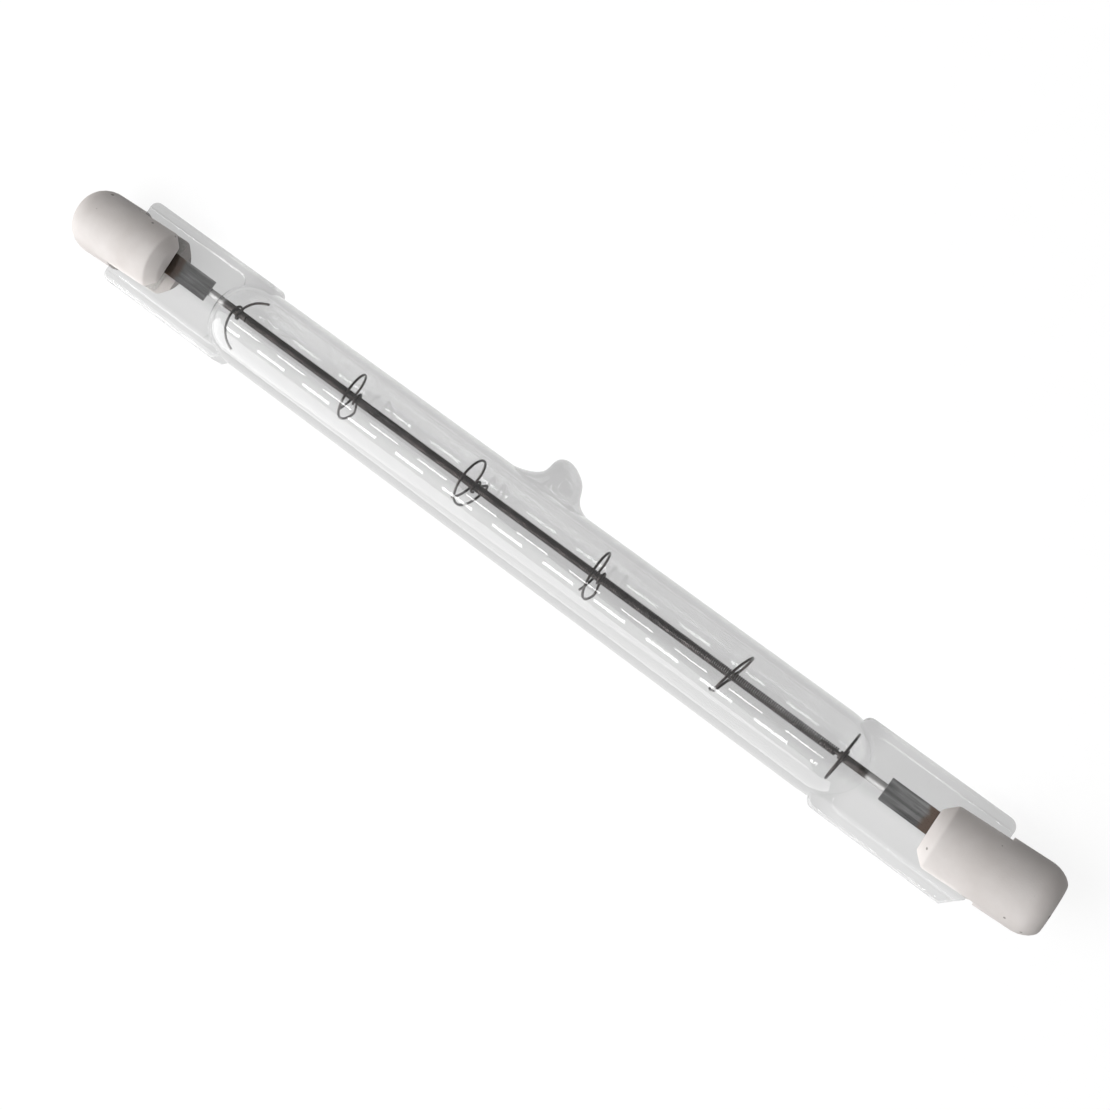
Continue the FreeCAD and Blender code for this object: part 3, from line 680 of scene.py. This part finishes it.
def wound(name, turns):
    """A coil along X that starts at X = 0."""
    bpy.ops.object.select_all(action="DESELECT")
    bpy.ops.mesh.primitive_circle_add(
        vertices=COIL_WIRE_SIDES, radius=COIL_WIRE_RADIUS, location=(0, COIL_RADIUS, 0)
    )
    piece = bpy.context.object
    piece.name = name
    bpy.ops.object.transform_apply(location=True, rotation=True, scale=True)
    winding = piece.modifiers.new("winding", "SCREW")
    winding.axis = "X"
    winding.screw_offset = COIL_PITCH
    winding.iterations = turns
    winding.steps = COIL_STEPS
    winding.render_steps = COIL_STEPS
    bpy.ops.object.modifier_apply(modifier=winding.name)
    bpy.ops.object.mode_set(mode="EDIT")
    bpy.ops.mesh.select_all(action="SELECT")
    bpy.ops.mesh.fill_holes(sides=COIL_WIRE_SIDES)
    bpy.ops.mesh.normals_make_consistent(inside=False)
    bpy.ops.object.mode_set(mode="OBJECT")
    return piece


coil = wound("filament_coil", int(2 * (COIL_HALF - COIL_MARGIN) / COIL_PITCH))
lay_down(coil, ON_CORE @ Matrix.Translation((COIL_MARGIN - COIL_HALF, 0, 0)))
dress(coil, tungsten, "filament", COIL_SMOOTHING)

# %% [markdown]
# Six bent wires keep the filament and its leads in the middle of the tube. A wire is a path with a round
# section: the path's points are set in code, the curve rounds the corners as bending does, and it is then
# turned into a mesh.

# %% Bent wire
WIRE = 0.26
PATH_ORDER = 3
PATH_STEPS = 5
SECTION_STEPS = 2
POINTS_PER_TURN = 20


def ring(radius, start, stop, rise=0.0):
    """Points round Z from one angle to another, in degrees, with a rise for each full turn."""
    count = max(2, round(abs(stop - start) / 360 * POINTS_PER_TURN))
    points = []
    for number in range(count + 1):
        angle = start + (stop - start) * number / count
        turn = math.radians(angle)
        points.append((radius * math.cos(turn), radius * math.sin(turn), rise * angle / 360))
    return points


def wire(name, points):
    """A round wire that is bent along a path of points."""
    bpy.ops.object.select_all(action="DESELECT")
    bpy.ops.curve.primitive_nurbs_path_add()
    piece = bpy.context.object
    path = piece.data.splines[0]
    path.points.add(len(points) - len(path.points))
    for point, spot in zip(path.points, points):
        point.co = (*spot, 1.0)
    path.order_u = PATH_ORDER
    path.use_endpoint_u = True
    path.resolution_u = PATH_STEPS
    piece.data.bevel_depth = WIRE / 2
    piece.data.bevel_resolution = SECTION_STEPS
    piece.data.use_fill_caps = True
    bpy.ops.object.convert(target="MESH")
    piece = bpy.context.object
    piece.name = name
    bpy.ops.object.mode_set(mode="EDIT")
    close_up()
    bpy.ops.object.mode_set(mode="OBJECT")
    return piece


print("wire thickness:", WIRE, "mm")

# %% [markdown]
# Five wires are loops that spring out towards the glass, each with a small clasp round the middle. They
# stand a little askew, as wires pushed in by hand do. The table gives the node that a loop stands for, its
# place along the tube, how far it leans and rolls, how many turns it has and how far a turn advances.

# %% The loops
LOOP_RADIUS = 2.45
CLASP_RADIUS = 0.62
CLASP_OPENING = 80.0
LOOPS = (
    ("filament_support_2", -21.515, 8.0, -2.0, 150.0, 1.05, 1.3),
    ("filament_support_3", -6.065, -3.0, -4.0, 200.0, 1.25, 1.3),
    ("filament_support_4", 9.385, 2.0, -1.0, 140.0, 1.05, 1.3),
    ("filament_support_5", 24.835, 2.0, -15.0, 70.0, 1.0, 0.4),
    ("filament_support_6", 37.1, 5.0, -4.0, 200.0, 0.8, 0.3),
)
for node, spot, lean_y, lean_z, roll, turns, rise in LOOPS:
    clasp = ring(CLASP_RADIUS, CLASP_OPENING - 360, 0)
    loop = ring(LOOP_RADIUS, 0, 360 * turns, rise)
    piece = wire(node.replace("filament_support", "support_wire"), clasp + loop)
    askew = (
        Matrix.Translation((spot, 0, 0))
        @ Matrix.Rotation(math.radians(lean_y), 4, "Y")
        @ Matrix.Rotation(math.radians(lean_z), 4, "Z")
        @ Matrix.Rotation(math.radians(roll), 4, "X")
        @ Matrix.Rotation(-math.pi / 2, 4, "Y")
    )
    lay_down(piece, ON_CORE @ askew)
    dress(piece, tungsten, node)

# %% [markdown]
# At the left end one wire makes a turn round the lead and spreads in two arms. Both arms follow one wide
# circle, and the turn starts where the lead crosses it.

# %% The end bow
BOW_RADIUS = 3.0
BOW_HALF = 78.0
BOW_PLACE = -38.1
BOW_ADVANCE = 0.6
crossing = math.degrees(math.asin(CORE / BOW_RADIUS))
depth = BOW_RADIUS * (1 - math.cos(math.radians(crossing)))


def bow_arm(start, stop, shift):
    """The points of one arm, level with the top of the turn round the lead."""
    return [(BOW_RADIUS - x + shift, y, CLASP_RADIUS) for x, y, z in ring(BOW_RADIUS, start, stop)]


clasp = [(depth + z, CORE + y, x) for x, y, z in ring(CLASP_RADIUS, 0, 360, BOW_ADVANCE)]
first_arm = bow_arm(-BOW_HALF, crossing, 0)
second_arm = bow_arm(crossing, BOW_HALF, BOW_ADVANCE)
bow = wire("support_wire_1", first_arm[:-1] + clasp + second_arm[1:])
lay_down(bow, ON_TABLE @ Matrix.Translation((BOW_PLACE, 0, 0)))
dress(bow, tungsten, "filament_support_1")

# %% [markdown]
# A cap is a short ceramic rod with softened ends, a slot that takes the pinch and a recess for the contact.
# It is turned, the slot is cut, and a small bevel takes the sharpness off every edge that is left, because
# pressed powder never comes out sharp.

# %% The ceramic caps
CAP_RADIUS = 3.45
CAP_INNER = 46.7
CAP_OUTER = 58.8
RECESS_RADIUS = 2.0
SEAT_STEP = 57.1
SEAT_RADIUS = 1.8
SEAT_FLOOR = 56.1
SHANK_HOLE = 0.85
SLOT_FLOOR = 53.0
SLOT_HALF = 1.35
CAP_STEPS = 96
EDGE_SOFTNESS = 0.1
EDGE_SEGMENTS = 3
EDGE_ANGLE = 50
CAP_OUTLINE = (
    (CAP_INNER, SHANK_HOLE), (SEAT_FLOOR, SHANK_HOLE), (SEAT_FLOOR, SEAT_RADIUS), (SEAT_STEP, SEAT_RADIUS),
    (SEAT_STEP, RECESS_RADIUS), (CAP_OUTER - 0.15, RECESS_RADIUS),
    (CAP_OUTER - 0.04, RECESS_RADIUS + 0.04), (CAP_OUTER, RECESS_RADIUS + 0.15),
    (CAP_OUTER, 2.3), (CAP_OUTER - 0.07, 2.5), (CAP_OUTER - 0.25, 2.72), (CAP_OUTER - 0.55, 2.98),
    (CAP_OUTER - 0.95, 3.2), (CAP_OUTER - 1.4, 3.36), (CAP_OUTER - 1.9, CAP_RADIUS),
    (CAP_INNER + 1.3, CAP_RADIUS), (CAP_INNER + 1.15, 3.43), (CAP_INNER + 1.0, 3.36),
    (CAP_INNER + 0.15, 2.62), (CAP_INNER + 0.04, 2.5), (CAP_INNER, 2.36), (CAP_INNER, SHANK_HOLE),
)


def flipped(outline, sign):
    """An outline for the right end as it is, or turned round for the left end."""
    return [(sign * x, radius) for x, radius in outline]


for side, sign in SIDES:
    cap = turned(f"cap_{side}", flipped(CAP_OUTLINE, sign), CAP_STEPS)
    corner = (sign * (CAP_INNER - OVERRUN), -CAP_RADIUS - OVERRUN, -SLOT_HALF)
    slot_block = block("slot_block", corner, (sign * SLOT_FLOOR, CAP_RADIUS + OVERRUN, SLOT_HALF))
    bpy.ops.object.mode_set(mode="OBJECT")
    combine(cap, slot_block, "DIFFERENCE")
    soften = cap.modifiers.new("soften", "BEVEL")
    soften.width = EDGE_SOFTNESS
    soften.segments = EDGE_SEGMENTS
    soften.angle_limit = math.radians(EDGE_ANGLE)
    alone(cap)
    bpy.ops.object.modifier_apply(modifier=soften.name)
    lay_down(cap, leaning(side, sign))
    dress(cap, steatite, f"ceramic_cap_{side}")

# %% [markdown]
# The contact is a turned button with a slightly domed face, on a shank that the lead is welded to.

# %% The contacts
BUTTON_RADIUS = 1.75
BUTTON_FACE = 56.9
SHANK_RADIUS = 0.75
SHANK_END = 54.3
BUTTON_STEPS = 64
BUTTON_OUTLINE = (
    (SHANK_END, 0.0), (SHANK_END, 0.65), (SHANK_END + 0.1, SHANK_RADIUS), (SEAT_FLOOR, SHANK_RADIUS),
    (SEAT_FLOOR, BUTTON_RADIUS), (BUTTON_FACE - 0.25, BUTTON_RADIUS), (BUTTON_FACE - 0.16, 1.71),
    (BUTTON_FACE - 0.1, 1.6), (BUTTON_FACE - 0.05, 1.2), (BUTTON_FACE - 0.015, 0.6), (BUTTON_FACE, 0.0),
)
for side, sign in SIDES:
    button = turned(f"contact_button_{side}", flipped(BUTTON_OUTLINE, sign), BUTTON_STEPS)
    lay_down(button, leaning(side, sign))
    dress(button, contact_metal, f"contact_{side}")

# %% [markdown]
# Cement fills what the pinch leaves free in the slot: a thin bed on each face, pressed back a little from
# the cap's bevel and rounded where it was wiped off.

# %% The cement beds
BED_START = 47.9
BED_END = 52.9
BED_HALF_WIDTH = 3.05
BED_GAP = 0.005
BED_ROUND = 0.4
BED_SEGMENTS = 4


def cement_bed(side, sign, face):
    """The cement on one face of a pinch."""
    inner, outer = sign * BED_START, sign * BED_END
    bottom, top = face * (WEB_HALF_THICKNESS + BED_GAP), face * (SLOT_HALF - BED_GAP)
    bed = block(f"cement_bed_{side}", (inner, -BED_HALF_WIDTH, bottom), (outer, BED_HALF_WIDTH, top))
    for x in sorted((inner, outer)):
        for y in (BED_HALF_WIDTH, -BED_HALF_WIDTH):
            bevel_edges(bed, upright_at(x, y), BED_ROUND, BED_SEGMENTS)
    bpy.ops.object.mode_set(mode="OBJECT")
    return bed


for side, sign in SIDES:
    beds = [cement_bed(side, sign, face) for face in (1, -1)]
    alone(beds[0])
    beds[1].select_set(True)
    bpy.ops.object.join()
    lay_down(beds[0], ON_TABLE)
    dress(beds[0], cement, f"cement_{side}")

# %% [markdown]
# The leads and the foils have the right shape already, so their solids stay and only their finish changes.

# %% Finishes for the solids that stay
KEPT = ("inner_lead", "foil", "outer_lead")
for side, sign in SIDES:
    for name in KEPT:
        solid = nodes[f"{name}_{side}"]
        solid.data.materials.clear()
        solid.data.materials.append(molybdenum)
print("solids that stay:", 2 * len(KEPT))

# %% [markdown]
# The table is white and shows the lamp's soft shadow. It gets its light from the lamps and, where a camera,
# mirror or glass ray looks at it, a little glow that lifts it to white.

# %% The table
FLOOR_SIZE = 3.0
FLOOR_DROP = 0.00005
FLOOR_GLOW = 0.89
RAYS = ("Is Camera Ray", "Is Glossy Ray", "Is Transmission Ray")


def seen(value):
    """1 where a camera, mirror or glass ray looks, and 0 for the rays that carry light."""
    camera_ray, mirror_ray, glass_ray = [value.node("ShaderNodeLightPath", output=name) for name in RAYS]
    return value.math("MAXIMUM", value.math("MAXIMUM", camera_ray, mirror_ray), glass_ray)


bpy.ops.object.select_all(action="DESELECT")
bpy.ops.mesh.primitive_plane_add(size=FLOOR_SIZE, location=(0, 0, -FLOOR_DROP))
floor = bpy.context.object
floor.name = "white_table"
white, sockets, place = new_finish("white_table")
fibre = noise(place, 400)
feed(sockets, Base_Color=ramp(fibre, (0.2, 0.115), (0.8, 0.125)))
feed(sockets, Emission_Color=ramp(seen(place), (0.0, 0.0), (1.0, 1.0)))
hold(sockets, Roughness=0.9, Specular_IOR_Level=0.1, Emission_Strength=FLOOR_GLOW)
floor.data.materials.append(white)
print("table:", floor.name)

# %% [markdown]
# The room is white for what the camera, the mirrors and the glass see, and dimmer as a source of light, so
# that the caps keep their shading.

# %% The room
ROOM_LIGHT = 0.36
ROOM_LOOK = 1.0
world = bpy.data.worlds.new("white_room")
bpy.context.scene.world = world
world.use_nodes = True
background = world.node_tree.nodes["Background"]
look = seen(Value(world.node_tree, None))
level = ROOM_LIGHT + (ROOM_LOOK - ROOM_LIGHT) * look
world.node_tree.links.new(level.socket, background.inputs["Strength"])
background.inputs["Color"].default_value = (1, 1, 1, 1)
print("room light:", ROOM_LIGHT)

# %% [markdown]
# One large soft lamp hangs on the near side and leaves the tip's side of the caps in shade. A pale panel at
# the side and two rows of small strips overhead are only there to be mirrored: the panel lightens the near
# half of the tube, and the strips show in it as white dashes. A row is given by its place across the tube,
# the width of its strips and its shift along the tube, in strips.

# %% Lamps
STRIP_COUNT = 17
STRIP_PITCH = 0.016
STRIP_LENGTH = 0.0095
STRIP_MIDDLE = -0.08
STRIP_HEIGHT = 0.245
STRIP_GLOW = 14.0
STRIP_ROWS = ((-0.06, 0.03, 0.0), (0.035, 0.014, 0.5))


def soft_lamp(name, spot, size, power, target=(0, 0, 0)):
    """A rectangular lamp that points at a target."""
    bpy.ops.object.light_add(type="AREA", location=spot)
    lamp = bpy.context.object
    lamp.name = name
    lamp.data.shape = "RECTANGLE"
    lamp.data.size, lamp.data.size_y = size
    lamp.data.energy = power
    lamp.rotation_euler = (Vector(spot) - Vector(target)).to_track_quat("Z", "Y").to_euler()
    return lamp


soft_lamp("near_lamp", spot=(-0.34, -0.2, 0.42), size=(0.7, 0.7), power=3.8)
panel = soft_lamp("side_panel", spot=(-0.1, -0.36, 0.24), size=(1.2, 0.42), power=5.0)
panel.visible_diffuse = False
for row, (across, width, shift) in enumerate(STRIP_ROWS, 1):
    for number in range(STRIP_COUNT):
        along = STRIP_MIDDLE + (number + shift - (STRIP_COUNT - 1) / 2) * STRIP_PITCH
        spot = (along, across, STRIP_HEIGHT)
        power = STRIP_GLOW * math.pi * STRIP_LENGTH * width
        name = f"strip_{row}_{number + 1}"
        strip = soft_lamp(name, spot, (STRIP_LENGTH, width), power, target=(along, 0, 0))
        strip.visible_diffuse = False

# %% [markdown]
# The camera looks down on the lamp almost square to its pinches. Its place and turn were found by fitting
# the tube's ends, the caps and the pinches to the photograph.

# %% Camera
CAMERA_PLACE = Vector((0.05066, 0.06736, 0.14333))
CAMERA_SIDE = Vector((0.7714, 0.4295, -0.4696)).normalized()
CAMERA_BACK = Vector((0.2862, 0.4250, 0.8588)).normalized()
LENS = 55.6
SENSOR = 36.0
NEAREST = 0.001
camera_up = CAMERA_BACK.cross(CAMERA_SIDE).normalized()
camera_right = camera_up.cross(CAMERA_BACK)
bpy.ops.object.camera_add()
camera = bpy.context.object
turn = Matrix((camera_right, camera_up, CAMERA_BACK)).transposed().to_4x4()
camera.matrix_world = Matrix.Translation(CAMERA_PLACE) @ turn
camera.data.lens = LENS
camera.data.sensor_width = SENSOR
camera.data.clip_start = NEAREST
bpy.context.scene.camera = camera
bpy.context.scene.view_settings.view_transform = "Standard"
print("camera at", [round(number, 4) for number in camera.location])
